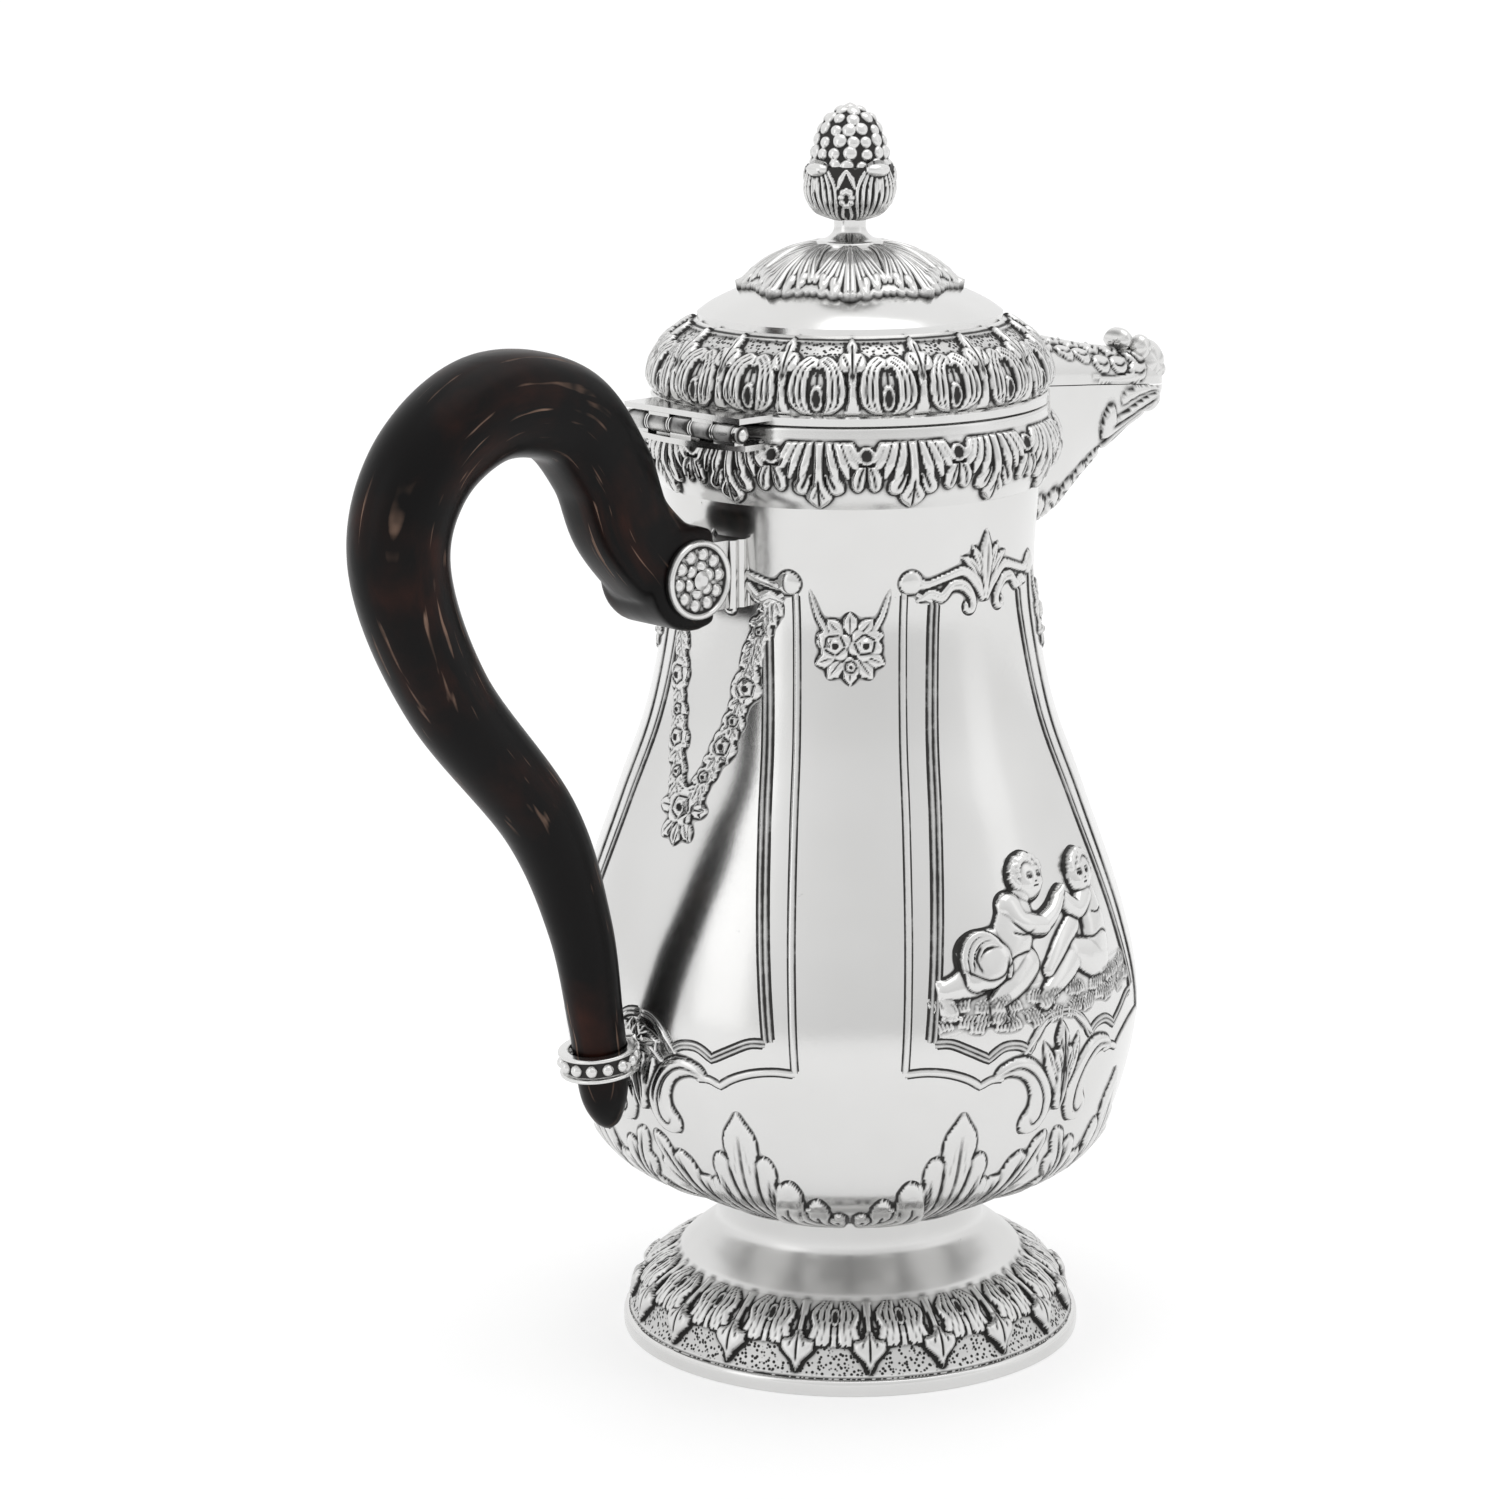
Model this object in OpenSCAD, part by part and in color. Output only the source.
// Silver coffee pot: a pear-shaped vessel on a spreading foot, with a beak
// spout, a hinged domed lid with a berry finial, and a looped wood handle.
// Millimetres. The origin is the middle of the foot's resting face, +Z is up,
// the spout points along +X and the handle along -X.

/* [Vessel] */
// Widest diameter of the vessel
body_d = 114.6; // [95:0.1:140]
// Height of the widest part above the table
belly_z = 69; // [60:1:80]
// Narrowest diameter of the neck
neck_d = 72; // [62:0.5:86]
// Height of the narrowest part of the neck
neck_z = 158; // [140:1:164]
// Height of the ridge where the chased collar starts
ridge_z = 172.5; // [168:0.5:200]
// Diameter of the ridge
ridge_d = 74; // [70:0.5:84]
// Thickness of the vessel's sheet
wall = 1.2; // [0.8:0.1:1.8]

/* [Foot] */
// Diameter of the wire that the pot rests on
foot_d = 92; // [80:0.5:112]
// Height of that wire
foot_wire_h = 3.2; // [2.5:0.1:5]
// Width of that wire
foot_wire_w = 2.4; // [2:0.1:4]
// Height of the whole foot
foot_h = 29; // [24:0.5:35]
// Diameter where the foot meets the vessel
joint_d = 55; // [48:0.5:62]
// Diameter of the foot's waist
waist_d = 53.4; // [44:0.2:58]
// Diameter of the step between the leaf band and the smooth dome
foot_step_d = 69.2; // [64:0.2:74]

/* [Collar] */
// Height of the collar above the ridge
collar_h = 15.5; // [12:0.5:20]
// Diameter of the rim that the lid rests on
rim_d = 77.6; // [74:0.2:90]
// How far the leaf band stands out beyond the rim
collar_bulge = 1.6; // [0.8:0.1:2.5]
// Thickness of the rim
rim_t = 1.8; // [1.4:0.1:2.4]

/* [Spout] */
// Distance from the pot's axis to the tip of the spout
spout_reach = 86; // [78:0.5:104]
// Half the spout's width where it leaves the collar
spout_root_w = 12.5; // [10:0.5:15]
// Half the spout's width near its tip
spout_tip_w = 4.4; // [4:0.1:6]
// Depth of the spout where it leaves the neck
spout_depth = 31; // [24:0.5:34]
// How far the parting line falls towards the tip
spout_fall = 5; // [0:0.5:8]
// Thickness of the spout's metal
spout_wall = 1.3; // [1:0.1:2]
// Height of the spout's cover above the parting line
cover_h = 9; // [7:0.5:12]
// Radius of the curl at the cover's tip
curl_r = 3.4; // [2.5:0.1:4.5]

/* [Lid] */
// Gap between the closed lid and the rim
seam_gap = 0.2; // [0.1:0.05:0.4]
// Height of the lid's plain flange
flange_h = 2.1; // [1.5:0.1:3]
// Height of the domed lid above its flange
dome_h = 26.5; // [22:0.5:32]
// Diameter of the step at the foot of the upper dome
lid_step_d = 59.2; // [54:0.2:64]
// Thickness of the lid's sheet
lid_wall = 1; // [0.7:0.1:1.4]
// How far the bezel under the lid reaches into the collar
bezel_h = 4.5; // [3:0.5:6]
// Clearance between the bezel and the collar
bezel_gap = 0.8; // [0.6:0.1:1.2]
// Diameter of the leaf plate under the finial
calyx_d = 41; // [34:0.5:46]
// Thickness of the leaf plate
calyx_t = 1.2; // [0.8:0.1:1.6]

/* [Finial] */
// Height of the finial above the leaf plate
finial_h = 27; // [22:0.5:34]
// Widest diameter of the finial's cup
cup_d = 17.2; // [14:0.2:21]
// Diameter of the threaded shank
shank_d = 3; // [2.4:0.1:4]
// Clearance round the shank
shank_gap = 0.05; // [0.02:0.01:0.1]
// Width of the nut across its corners
nut_d = 7.2; // [6:0.2:9]
// Height of the nut
nut_h = 2.2; // [1.6:0.1:3]
// Diameter of the washer
washer_d = 10; // [8:0.5:12]
// Thickness of the washer
washer_t = 0.8; // [0.5:0.1:1.2]

/* [Hinge] */
// Length of the hinge's barrel
hinge_l = 31; // [24:0.5:38]
// Number of knuckles, counting both leaves
knuckles = 5; // [3:2:7]
// Outer diameter of the knuckles
knuckle_d = 3.5; // [2.8:0.1:4.4]
// Diameter of the hinge pin
hinge_pin_d = 1.6; // [1.2:0.1:2]
// Radial clearance between the pin and the lid's knuckles
hinge_fit = 0.05; // [0.02:0.01:0.1]
// Gap between neighbouring knuckles, and round the barrel
hinge_gap = 0.3; // [0.2:0.05:0.5]
// Distance from the rim out to the pin's axis
hinge_out = 3.7; // [3:0.1:5]
// Thickness of the leaves' plates
leaf_t = 1.1; // [0.8:0.1:1.4]

/* [Handle] */
// Thickest diameter of the wood grip
grip_d = 20; // [16:0.5:24]
// Height of the upper socket's axis
upper_z = 159.6; // [150:0.1:164]
// Distance from the neck out to the upper socket's axis
upper_out = 11.3; // [10:0.1:15]
// Diameter of the wood's scroll end
scroll_d = 20; // [17:0.5:24]
// Width of the scroll end
scroll_w = 17.2; // [14:0.2:20]
// Height of the ring at the lower end
lower_z = 68; // [60:0.5:78]
// Distance from the vessel out to the ring's axis
lower_out = 8.1; // [7.9:0.1:12]
// How far the loop bows out beyond its two ends
bow = 63; // [50:1:76]
// Diameter of the rosette discs
rosette_d = 15.4; // [13:0.2:17]
// Thickness of the rosette discs
rosette_t = 1.6; // [1:0.1:2.5]
// Diameter of the rivet through the scroll
upper_pin_d = 2.4; // [1.6:0.1:3]
// Height of the upper socket's saddle
saddle_h = 13; // [10:0.5:16]
// How far the saddle reaches over the scroll
saddle_lap = 4.3; // [3:0.1:6]
// Height of the beaded ring
ring_h = 4.2; // [3:0.1:6]
// Thickness of the ring's wall
ring_t = 2; // [1.2:0.1:3]
// Diameter of the rivet through the ring
lower_pin_d = 1.6; // [1.2:0.1:2.2]
// Gap between a rivet or a ring and the wood
wood_gap = 0.05; // [0.02:0.01:0.1]

/* [Hidden] */

silver = "#d9d9d6";
dark_silver = "#b9b9b6";
ebony = "#2a1c17";

$fn = 96;
pin_fn = 32;
slack = 0.01;             // run-out that makes a cut clean
span_steps = 4;           // samples between two knots of an outline

belly_r = body_d / 2;
neck_r = neck_d / 2;
ridge_r = ridge_d / 2;
joint_r = joint_d / 2;
waist_r = waist_d / 2;
foot_r = foot_d / 2;
rim_r = rim_d / 2;
rim_z = ridge_z + collar_h;
lid_z = rim_z + seam_gap;
dome_z = lid_z + flange_h;
lid_step_r = lid_step_d / 2;
calyx_r = calyx_d / 2;

// A point a share t of the way from a to b.
function mix(a, b, t) = a + (b - a) * t;

// One point of a Catmull-Rom curve between b and c.
function curve_point(a, b, c, d, t) =
    (2 * b + (c - a) * t + (2 * a - 5 * b + 4 * c - d) * t * t
        + (3 * b - a - 3 * c + d) * t * t * t) / 2;

// A smooth line through the knots k, with n steps between neighbours.
function smooth(k, n = span_steps) = concat(
    [for (i = [0 : len(k) - 2])
        let (a = k[max(i - 1, 0)], d = k[min(i + 2, len(k) - 1)])
        for (j = [0 : n - 1]) curve_point(a, k[i], k[i + 1], d, j / n)],
    [k[len(k) - 1]]);

// The line p moved to its left by t, which is inwards on an outline drawn upwards.
function inset(p, t) = [for (i = [0 : len(p) - 1])
    let (d = p[min(i + 1, len(p) - 1)] - p[max(i - 1, 0)])
    p[i] + [-d[1], d[0]] * t / norm(d)];

function turned_round(p) = [for (i = [len(p) - 1 : -1 : 0]) p[i]];

// The radius of an upward outline at height z.
function radius_at(p, z) = lookup(z, [for (q = p) [q[1], q[0]]]);

// ---- outlines, as [radius, height] ----

// Shares of the way out to the belly, and of the way up, that give the pear shape.
function below_belly(out, up) = [mix(joint_r, belly_r, out), mix(foot_h, belly_z, up)];
function above_belly(out, up) = [mix(neck_r, belly_r, out), mix(belly_z, neck_z, up)];
vessel_line = smooth([[joint_r, foot_h], below_belly(0.37, 0.125), below_belly(0.715, 0.3),
    below_belly(0.895, 0.56), [belly_r, belly_z], above_belly(0.85, 0.21),
    above_belly(0.47, 0.48), above_belly(0.19, 0.67), above_belly(0.03, 0.87),
    [neck_r, neck_z], [ridge_r, ridge_z]]);
vessel_floor_z = foot_h + wall;

collar_line = smooth([[ridge_r, ridge_z], [rim_r, ridge_z + collar_h * 0.18],
    [rim_r + collar_bulge, ridge_z + collar_h * 0.45],
    [rim_r + collar_bulge * 0.9, ridge_z + collar_h * 0.65],
    [rim_r + 0.2, ridge_z + collar_h * 0.85]]);
rim_inner_r = rim_r - rim_t;

foot_line = smooth([[foot_r - 1, foot_wire_h], [foot_r - 2.6, foot_h * 0.19],
    [foot_r - 3.6, foot_h * 0.31], [foot_r - 6.6, foot_h * 0.42],
    [foot_step_d / 2, foot_h * 0.54], [mix(foot_step_d / 2, waist_r, 0.62), foot_h * 0.66],
    [mix(foot_step_d / 2, waist_r, 0.95), foot_h * 0.76], [waist_r, foot_h * 0.84],
    [joint_r - 0.2, foot_h]]);

// The lid: a convex leaf band, a short step, then the smooth dome.
band_line = smooth([[rim_r - 0.9, dome_z], [rim_r, dome_z + dome_h * 0.08],
    [rim_r, dome_z + dome_h * 0.16], [rim_r - 1, dome_z + dome_h * 0.255],
    [rim_r - 2.8, dome_z + dome_h * 0.35], [mix(rim_r, lid_step_r, 0.55), dome_z + dome_h * 0.43],
    [lid_step_r, dome_z + dome_h * 0.525]]);
crown_line = smooth([[lid_step_r, dome_z + dome_h * 0.57], [lid_step_r - 2.4, dome_z + dome_h * 0.635],
    [calyx_r + 3.2, dome_z + dome_h * 0.7], [calyx_r - 0.6, dome_z + dome_h * 0.76],
    [calyx_r * 0.83, dome_z + dome_h * 0.84], [calyx_r * 0.6, dome_z + dome_h * 0.925],
    [calyx_r * 0.3, dome_z + dome_h * 0.99], [shank_d / 2 + shank_gap, dome_z + dome_h]]);
crown_z = dome_z + dome_h;
seat_z = crown_z - lid_wall * 1.6;          // flat seat for the washer, under the crown
seat_r = washer_d / 2 + 0.6;

calyx_under = [for (p = crown_line) if (p[0] <= calyx_r - 0.6 + slack) p];
calyx_start = calyx_under[0];
calyx_line = smooth([calyx_start + [0.9, 0.1], [calyx_r * 0.93, calyx_start[1] + 1.6 * calyx_t],
    [calyx_r * 0.8, crown_z - 1.7 * calyx_t], [calyx_r * 0.55, crown_z + 0.25 * calyx_t],
    [calyx_r * 0.35, crown_z + calyx_t]]);
stem_z = crown_z + calyx_t;

// The berry sits in the cup, so the cup's inside is the berry's own outline.
function berry_knot(out, up) = [cup_d / 2 * out, stem_z + finial_h * up];
berry_line = smooth([berry_knot(0, 0.3), berry_knot(0.62, 0.36), berry_knot(0.86, 0.47),
    berry_knot(0.91, 0.61), berry_knot(0.82, 0.75), berry_knot(0.58, 0.89),
    berry_knot(0.28, 0.975), berry_knot(0, 1)]);
cup_top_z = stem_z + finial_h * 0.575;
cup_base_z = stem_z + finial_h * 0.19;
neck_of_stem = shank_d / 2 + 1.6;

// ---- hinge ----
hinge_x = -(rim_r + hinge_out);
hinge_z = rim_z - 0.8;
knuckle_pitch = hinge_l / knuckles;
knuckle_r = knuckle_d / 2;
hinge_pin_r = hinge_pin_d / 2;
leaf_half_w = hinge_l / 2 + 1;
lower_plate_z = hinge_z - knuckle_r - hinge_gap - leaf_t;
upper_plate_z = hinge_z + knuckle_r + hinge_gap;
web_half = knuckle_r * 0.62;

// ---- spout ----
root_x = rim_r - 8;
parting_z = rim_z;
// Shares of the way from root to tip, of the width and of the depth.
spout_knots = [[0, 1.06, 1], [0.2, 0.92, 0.97], [0.38, 0.66, 0.86], [0.52, 0.42, 0.66],
    [0.66, 0.24, 0.46], [0.8, 0.12, 0.29], [0.92, 0.04, 0.17], [1, 0, 0.1]];
spout_end_u = 0.9;                           // where the tip starts to round off
function spout_x(u) = mix(root_x, spout_reach, u);
function parting_at(x) = parting_z - spout_fall * max(0, (x - rim_r) / (spout_reach - rim_r));
function tip_round(u) = sqrt(max(0.03, 1 - pow(max(0, (u - spout_end_u) / (1.02 - spout_end_u)), 2)));

// ---- handle ----
handle_upper_x = -(radius_at(vessel_line, upper_z) + upper_out);
handle_lower_x = -(radius_at(vessel_line, lower_z) + lower_out);
// Along the grip: share of the way up from ring to scroll, share of the bow, share of the grip.
handle_knots = [[1.03, 0.06, 0.9], [1.12, 0.18, 0.88], [1.245, 0.257, 0.9], [1.365, 0.416, 0.96],
    [1.389, 0.686, 1], [1.279, 0.924, 0.99], [1.092, 1, 0.94], [0.827, 0.843, 0.84],
    [0.535, 0.505, 0.75], [0.295, 0.221, 0.63], [0.087, 0.038, 0.55], [0, -0.006, 0.53],
    [-0.085, -0.02, 0.46], [-0.14, -0.034, 0.26], [-0.156, -0.038, 0.08]];
function handle_x(t, out) = mix(handle_lower_x, handle_upper_x, max(0, min(1, t))) - bow * out;
function handle_at(k) = [handle_x(k[0], k[1]), mix(lower_z, upper_z, k[0]), k[2] * grip_d / 2];
handle_line = smooth([for (k = handle_knots) handle_at(k)]);
ring_knot = 11;
ring_centre = handle_at(handle_knots[ring_knot]);
ring_dir = handle_at(handle_knots[ring_knot - 1]) - handle_at(handle_knots[ring_knot + 1]);
ring_tilt = atan2(ring_dir[0], ring_dir[1]);
ring_bore_r = ring_centre[2] + 0.35;
ring_outer_r = ring_bore_r + ring_t;
saddle_x = handle_upper_x + saddle_lap;

// ---- shared shapes ----

module revolved(outline) {
    rotate_extrude() polygon(outline);
}

// A solid through a row of rings, each with the same number of points.
module loft(rings) {
    n = len(rings[0]);
    last = len(rings) - 1;
    polyhedron(
        points = [for (r = rings) for (p = r) p],
        faces = concat(
            [[for (i = [n - 1 : -1 : 0]) i]],
            [for (k = [0 : last - 1]) for (i = [0 : n - 1])
                let (j = (i + 1) % n, a = k * n, b = (k + 1) * n)
                each [[a + i, a + j, b + j], [a + i, b + j, b + i]]],
            [[for (i = [0 : n - 1]) last * n + i]]));
}

// Everything inside the outer face of the vessel, the collar and the foot's joint.
module vessel_outer() {
    revolved(concat([[0, foot_h]], vessel_line, collar_line,
        [[rim_r, rim_z], [0, rim_z]]));
}

module lid_outer() {
    revolved(concat([[0, lid_z], [rim_r, lid_z], [rim_r, dome_z]], band_line,
        [[0, dome_z + dome_h * 0.525]]));
}

// The notch that lets the vessel pour into the spout.
module spout_notch() {
    translate([rim_r, 0, 0])
        rotate([90, 0, 90])
            linear_extrude(height = 3 * rim_t + 16, center = true)
                polygon([[-spout_root_w * 0.62, rim_z + 1], [-spout_root_w * 0.2, rim_z - spout_depth * 0.72],
                    [spout_root_w * 0.2, rim_z - spout_depth * 0.72], [spout_root_w * 0.62, rim_z + 1]]);
}

// One cross ring of the trough. Below the parting line it is a pointed U.
function trough_ring(k, inner) =
    let (x = spout_x(k[0]), grow = inner ? spout_wall : 0,
        w = mix(spout_tip_w, spout_root_w, k[1]) * (inner ? 1 : tip_round(k[0])) - grow,
        d = spout_depth * k[2] - (inner ? min(spout_wall * 1.5, spout_depth * k[2] * 0.35) : 0),
        top = parting_at(x) + (inner ? 1 : 0))
    concat([[x, w, top]],
        [for (a = [75 : -15 : -75]) [x, w * sin(a), top - (inner ? 1 : 0) - d * pow(cos(a), 0.8)]],
        [[x, -w, top]]);

// One cross ring of the cover, an arch over the parting line.
function cover_ring(k, inner) =
    let (x = spout_x(k[0]), grow = inner ? spout_wall : 0,
        w = mix(spout_tip_w, spout_root_w, k[1]) * (inner ? 1 : tip_round(k[0])) - grow,
        h = cover_h * mix(0.62, 1.05, k[1]) - grow, low = parting_at(x) + seam_gap - (inner ? 1 : 0))
    concat([[x, -w, low]],
        [for (a = [-75 : 15 : 75]) [x, w * sin(a), low + (inner ? 1 : 0) + h * pow(cos(a), 0.7)]],
        [[x, w, low]]);

// ---- foot ----

module foot_wire() {
    color(silver)
        rotate_extrude()
            polygon([[foot_r - foot_wire_w, 0], [foot_r - 0.3, 0], [foot_r, 0.4],
                [foot_r, foot_wire_h - 0.6], [foot_r - 0.5, foot_wire_h],
                [foot_r - foot_wire_w, foot_wire_h]]);
}

module foot() {
    color(silver)
        revolved(concat(foot_line,
            turned_round([for (p = inset(foot_line, wall)) [p[0], max(foot_wire_h, min(foot_h, p[1]))]])));
}

// ---- vessel, collar and spout ----

module vessel() {
    inner = [for (p = inset(vessel_line, wall)) if (p[1] > vessel_floor_z + 0.3) p];
    color(silver)
        difference() {
            revolved(concat([[0, foot_h]], vessel_line,
                [[ridge_r - wall, ridge_z]],
                turned_round([for (p = inner) if (p[1] < ridge_z - 0.3) p]),
                [[joint_r - wall, vessel_floor_z], [0, vessel_floor_z]]));
            spout_notch();
        }
}

module collar() {
    color(silver)
        difference() {
            revolved(concat(collar_line, [[rim_r, rim_z - 0.2], [rim_r, rim_z],
                [rim_inner_r, rim_z], [rim_inner_r, rim_z - bezel_h - 0.8]],
                turned_round([for (p = inset(collar_line, wall))
                    if (p[1] > ridge_z + 1 && p[1] < rim_z - bezel_h - 1.8) p]),
                [[ridge_r - wall, ridge_z]]));
            spout_notch();
        }
}

module spout_trough() {
    outer = [for (k = smooth(spout_knots, 2)) trough_ring(k, false)];
    inner = [for (k = smooth(concat([[-0.1, 1.06, 1]], spout_knots, [[1.08, 0, 0.08]]), 2))
        trough_ring(k, true)];
    color(silver)
        difference() {
            loft(outer);
            loft(inner);
            vessel_outer();
        }
}

// ---- hinge ----

// Knuckles i of the barrel, with webs that reach the plate on the given side.
module hinge_knuckles(first, side, bore_r) {
    for (i = [first : 2 : knuckles - 1]) {
        y = -hinge_l / 2 + (i + 0.5) * knuckle_pitch;
        length = knuckle_pitch - hinge_gap;
        translate([hinge_x, y, hinge_z])
            difference() {
                union() {
                    rotate([90, 0, 0])
                        cylinder(r = knuckle_r, h = length, center = true, $fn = pin_fn);
                    translate([-web_half, -length / 2, side > 0 ? 0 : -(knuckle_r + hinge_gap)])
                        cube([2 * web_half, length, knuckle_r + hinge_gap]);
                }
                rotate([90, 0, 0])
                    cylinder(r = bore_r, h = length + 1, center = true, $fn = pin_fn);
            }
    }
}

module hinge_body_leaf() {
    color(silver)
        union() {
            difference() {
                intersection() {
                    translate([hinge_x - knuckle_d * 1.2, -leaf_half_w, lower_plate_z])
                        cube([rim_r, 2 * leaf_half_w, leaf_t]);
                    translate([0, 0, lower_plate_z - 1])
                        cylinder(r = -hinge_x + knuckle_r + 0.8, h = leaf_t + 2);
                }
                vessel_outer();
            }
            hinge_knuckles(0, -1, hinge_pin_r);
        }
}

module hinge_lid_leaf() {
    color(silver)
        union() {
            difference() {
                translate([hinge_x - knuckle_r * 0.5, -leaf_half_w, upper_plate_z])
                    cube([rim_r, 2 * leaf_half_w, leaf_t]);
                translate([0, 0, upper_plate_z - 1])
                    cylinder(r = rim_r, h = leaf_t + 2);
            }
            hinge_knuckles(1, 1, hinge_pin_r + hinge_fit);
        }
}

module hinge_pin() {
    head = 0.5;
    color(dark_silver)
        translate([hinge_x, 0, hinge_z])
            rotate([90, 0, 0]) {
                cylinder(r = hinge_pin_r, h = hinge_l - hinge_gap, center = true, $fn = pin_fn);
                for (end = [0, 1])
                    mirror([0, 0, end])
                        translate([0, 0, (hinge_l - hinge_gap) / 2])
                            cylinder(r1 = hinge_pin_r * 1.35, r2 = hinge_pin_r, h = head, $fn = pin_fn);
            }
}

// ---- handle and its sockets ----

// Everything that the wood of the handle fills, before its rivets are cut.
module handle_wood() {
    sides = 16;
    path = handle_line;
    rings = [for (i = [0 : len(path) - 1])
        let (d = path[min(i + 1, len(path) - 1)] - path[max(i - 1, 0)],
            across = [-d[1], d[0]] / norm([d[0], d[1]]), p = path[i])
        [for (s = [0 : sides - 1])
            let (c = p[2] * cos(360 * s / sides), y = p[2] * 0.93 * sin(360 * s / sides))
            [p[0] + across[0] * c, y, p[1] + across[1] * c]]];
    union() {
        loft(rings);
        translate([handle_upper_x, 0, upper_z])
            rotate([90, 0, 0])
                cylinder(d = scroll_d, h = scroll_w, center = true, $fn = 48);
    }
}

module handle() {
    color(ebony)
        difference() {
            handle_wood();
            translate([saddle_x, -scroll_w, upper_z - scroll_d])
                cube([scroll_d, 2 * scroll_w, 2 * scroll_d]);
            translate([handle_upper_x, 0, upper_z])
                rotate([90, 0, 0])
                    cylinder(r = upper_pin_d / 2 + wood_gap, h = 2 * scroll_w, center = true, $fn = pin_fn);
            translate([ring_centre[0], 0, ring_centre[1]])
                rotate([90, 0, 0])
                    cylinder(r = lower_pin_d / 2 + wood_gap, h = 2 * scroll_w, center = true, $fn = pin_fn);
            // flats that the rosettes seat on
            for (side = [-1, 1])
                translate([handle_upper_x, side * scroll_w, upper_z])
                    rotate([90, 0, 0])
                        cylinder(d = rosette_d + 2 * wood_gap, h = scroll_w, center = true, $fn = 64);
        }
}

// A saddle with upright reeds that clasps the scroll end.
module upper_socket() {
    reed_r = 1.1;
    first_reed = handle_upper_x + rosette_d / 2 + reed_r + 0.1;
    color(silver)
        difference() {
            union() {
                translate([saddle_x, -scroll_w / 2, upper_z - saddle_h / 2])
                    cube([upper_out, scroll_w, saddle_h]);
                for (side = [-1, 1])
                    for (i = [0 : 2])
                        translate([first_reed + 2 * reed_r * i, side * scroll_w / 2, upper_z - saddle_h / 2])
                            cylinder(r = reed_r, h = saddle_h, $fn = 24);
            }
            vessel_outer();
        }
}

module rosette(side) {
    color(silver)
        translate([handle_upper_x, side * scroll_w / 2, upper_z])
            rotate([side > 0 ? -90 : 90, 0, 0])
                difference() {
                    union() {
                        cylinder(d = rosette_d, h = rosette_t * 0.6, $fn = 64);
                        cylinder(d1 = rosette_d - 1, d2 = rosette_d - 5, h = rosette_t, $fn = 64);
                    }
                    translate([0, 0, -1])
                        cylinder(d = upper_pin_d + 2 * wood_gap, h = rosette_t + 2, $fn = pin_fn);
                }
}

module upper_rivet() {
    length = scroll_w + 2 * rosette_t;
    color(dark_silver)
        translate([handle_upper_x, 0, upper_z])
            rotate([90, 0, 0]) {
                cylinder(d = upper_pin_d, h = length, center = true, $fn = pin_fn);
                for (end = [0, 1])
                    mirror([0, 0, end])
                        translate([0, 0, length / 2])
                            cylinder(d1 = upper_pin_d * 1.5, d2 = upper_pin_d * 0.8, h = 0.6, $fn = pin_fn);
            }
}

// The beaded ring round the wood, its short stub, and the beads.
module lower_socket() {
    bead_r = ring_h * 0.17;
    beads = 18;
    color(silver)
        difference() {
            union() {
                translate([ring_centre[0], 0, ring_centre[1]])
                    rotate([0, ring_tilt, 0])
                        rotate_extrude()
                            polygon([[0, -ring_h / 2], [ring_outer_r - 0.1, -ring_h / 2],
                                [ring_outer_r, -ring_h / 2 + 0.3], [ring_outer_r, -ring_h / 2 + 0.7],
                                [ring_outer_r - 0.5, -ring_h / 2 + 0.9], [ring_outer_r - 0.5, ring_h / 2 - 0.9],
                                [ring_outer_r, ring_h / 2 - 0.7], [ring_outer_r, ring_h / 2 - 0.3],
                                [ring_outer_r - 0.1, ring_h / 2], [0, ring_h / 2]]);
                translate([ring_centre[0] + ring_bore_r + 0.4, -ring_outer_r * 0.5, ring_centre[1] - ring_h])
                    cube([lower_out, ring_outer_r, ring_h * 1.7]);
                translate([ring_centre[0], 0, ring_centre[1]])
                    rotate([0, ring_tilt, 0])
                        for (i = [0 : beads - 1])
                            rotate([0, 0, (i + 0.5) * 360 / beads])
                                translate([ring_outer_r - 0.45, 0, 0])
                                    sphere(r = bead_r, $fn = 16);
            }
            translate([ring_centre[0], 0, ring_centre[1]])
                rotate([0, ring_tilt, 0])
                    cylinder(r = ring_bore_r, h = 6 * ring_h, center = true, $fn = 48);
            translate([ring_centre[0], 0, ring_centre[1]])
                rotate([90, 0, 0])
                    cylinder(r = lower_pin_d / 2 + wood_gap, h = 4 * ring_outer_r, center = true, $fn = pin_fn);
            vessel_outer();
        }
}

module lower_rivet() {
    color(dark_silver)
        translate([ring_centre[0], 0, ring_centre[1]])
            rotate([90, 0, 0])
                cylinder(d = lower_pin_d, h = 2 * ring_outer_r + 0.4, center = true, $fn = pin_fn);
}

// A thin shaped plate on the vessel, round the lower stub.
module lower_backplate() {
    bead_stand = max(0, ring_h * 0.17 - 0.45);
    plate_t = 0.8;
    plate_w = ring_outer_r * 0.9;
    stub_half_w = ring_outer_r * 0.5;
    color(silver)
        difference() {
            intersection() {
                revolved(concat([[0, foot_h]], [for (p = vessel_line) p + [plate_t, 0]], [[0, ridge_z]]));
                translate([0, 0, lower_z - 1])
                    rotate([90, 0, -90])
                        linear_extrude(height = belly_r * 1.5)
                            polygon([[0, 19], [plate_w * 0.6, 11], [plate_w, 2], [plate_w * 0.7, -8],
                                [0, -14], [-plate_w * 0.7, -8], [-plate_w, 2], [-plate_w * 0.6, 11]]);
            }
            vessel_outer();
            translate([-belly_r * 2, -stub_half_w, ring_centre[1] - ring_h])
                cube([belly_r * 2, 2 * stub_half_w, ring_h * 1.7]);
            translate([ring_centre[0], 0, ring_centre[1]])
                rotate([0, ring_tilt, 0])
                    cylinder(r = ring_outer_r + bead_stand, h = ring_h, center = true);
        }
}

// ---- lid ----

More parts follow.
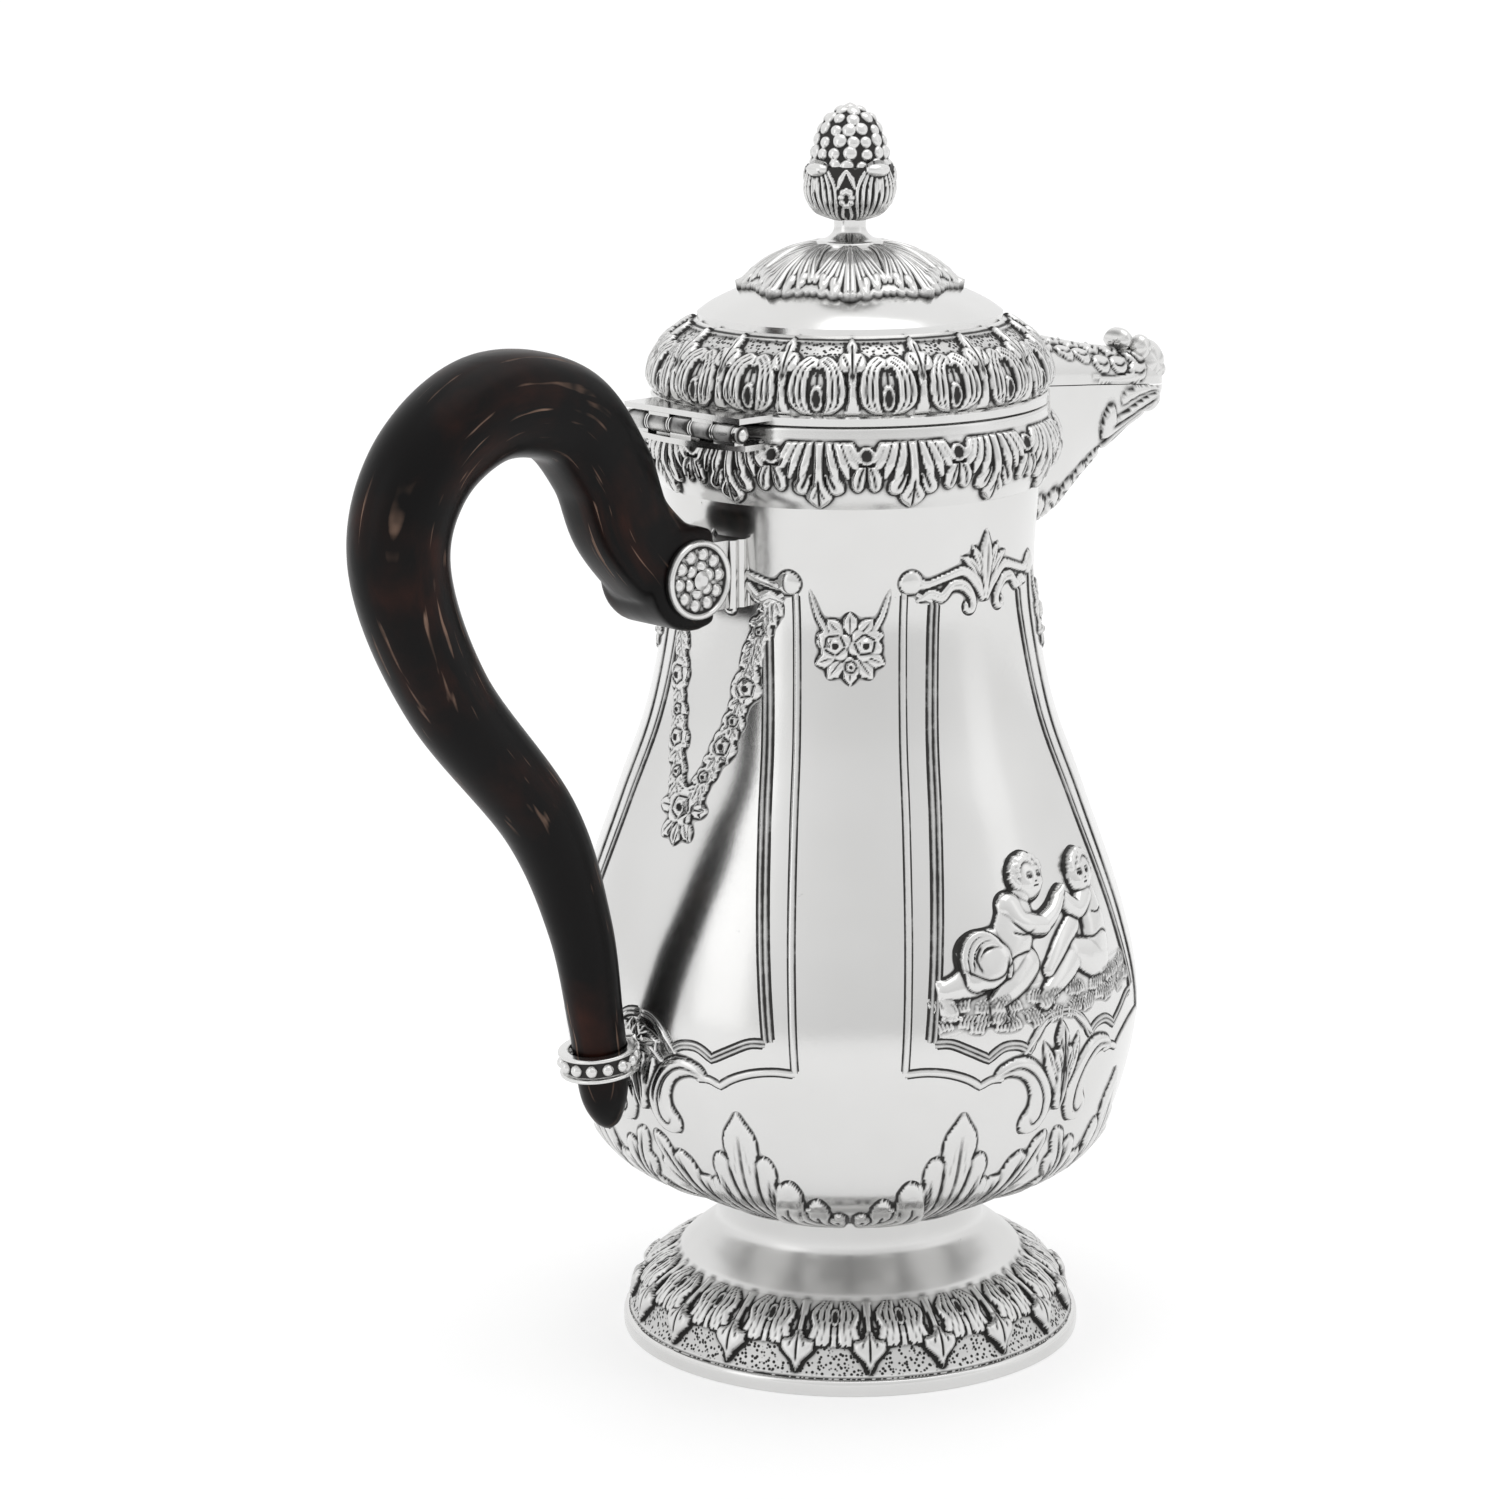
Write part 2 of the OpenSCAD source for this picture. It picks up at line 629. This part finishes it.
module lid_flange() {
    bezel_r = rim_inner_r - bezel_gap;
    color(silver)
        difference() {
            rotate_extrude()
                polygon([[bezel_r - lid_wall, lid_z - bezel_h], [bezel_r, lid_z - bezel_h], [bezel_r, lid_z],
                    [rim_r, lid_z], [rim_r, dome_z], [bezel_r - lid_wall, dome_z]]);
            translate([rim_r, 0, lid_z - bezel_h / 2])
                cube([rim_r, 2 * spout_root_w, bezel_h], center = true);
        }
}

module lid_dome() {
    dome_inner = [for (p = inset(concat(band_line, crown_line), lid_wall))
        if (p[0] > seat_r && p[1] < seat_z - 0.2) [p[0], max(p[1], dome_z)]];
    color(silver)
        revolved(concat(band_line, crown_line,
            [[shank_d / 2 + shank_gap, seat_z], [seat_r, seat_z]], turned_round(dome_inner)));
}

module spout_cover() {
    outer = [for (k = smooth(spout_knots, 2)) cover_ring(k, false)];
    inner = [for (k = smooth([for (s = spout_knots) if (s[0] < 0.85) s], 2)) cover_ring(k, true)];
    curl_x = spout_reach - curl_r * 1.15;
    color(silver)
        difference() {
            union() {
                loft(outer);
                translate([curl_x, 0, parting_at(curl_x) + seam_gap + curl_r + 1])
                    rotate([90, 0, 0])
                        cylinder(r = curl_r, h = 1.9 * spout_tip_w, center = true, $fn = 32);
            }
            loft(inner);
            lid_outer();
            cylinder(r = rim_r, h = lid_z + cover_h * 2);
        }
}

module calyx_plate() {
    color(silver)
        revolved(concat(calyx_line, [[shank_d / 2 + shank_gap, crown_z + calyx_t]],
            turned_round(calyx_under)));
}

// ---- finial ----

module finial_stem() {
    shank_r = shank_d / 2;
    shank_z = seat_z - washer_t - nut_h - 1.2;
    color(silver)
        revolved([[0, shank_z], [shank_r - 0.3, shank_z], [shank_r, shank_z + 0.3],
            [shank_r, stem_z], [calyx_r * 0.3, stem_z], [calyx_r * 0.32, stem_z + 0.5],
            [calyx_r * 0.3, stem_z + 1.1], [neck_of_stem + 1, stem_z + 1.9],
            [neck_of_stem, stem_z + 3], [neck_of_stem, cup_base_z], [0, cup_base_z]]);
}

module finial_cup() {
    seat = [for (p = berry_line) if (p[1] < cup_top_z - 0.3) p];
    color(silver)
        revolved(concat([[0, cup_base_z]],
            smooth([[neck_of_stem + 0.2, cup_base_z], [cup_d * 0.37, mix(cup_base_z, cup_top_z, 0.17)],
                [cup_d * 0.47, mix(cup_base_z, cup_top_z, 0.42)], [cup_d * 0.498, mix(cup_base_z, cup_top_z, 0.72)],
                [cup_d / 2, cup_top_z]]),
            [[radius_at(berry_line, cup_top_z), cup_top_z]],
            turned_round(seat)));
}

module finial_berry() {
    color(silver) revolved(berry_line);
}

module finial_washer() {
    color(dark_silver)
        translate([0, 0, seat_z - washer_t])
            difference() {
                cylinder(d = washer_d, h = washer_t, $fn = 48);
                translate([0, 0, -1])
                    cylinder(d = shank_d + 2 * shank_gap, h = washer_t + 2, $fn = pin_fn);
            }
}

module finial_nut() {
    color(dark_silver)
        translate([0, 0, seat_z - washer_t - nut_h])
            difference() {
                cylinder(d = nut_d, h = nut_h, $fn = 6);
                translate([0, 0, -1])
                    cylinder(d = shank_d + 2 * shank_gap, h = nut_h + 2, $fn = pin_fn);
            }
}

foot_wire();
foot();
vessel();
collar();
spout_trough();
hinge_body_leaf();
hinge_pin();
upper_socket();
lower_socket();
lower_backplate();
handle();
rosette(-1);  // rosette_near
rosette(1);  // rosette_far
upper_rivet();
lower_rivet();
lid_flange();
lid_dome();
spout_cover();
hinge_lid_leaf();
calyx_plate();
finial_stem();
finial_cup();
finial_berry();
finial_washer();
finial_nut();
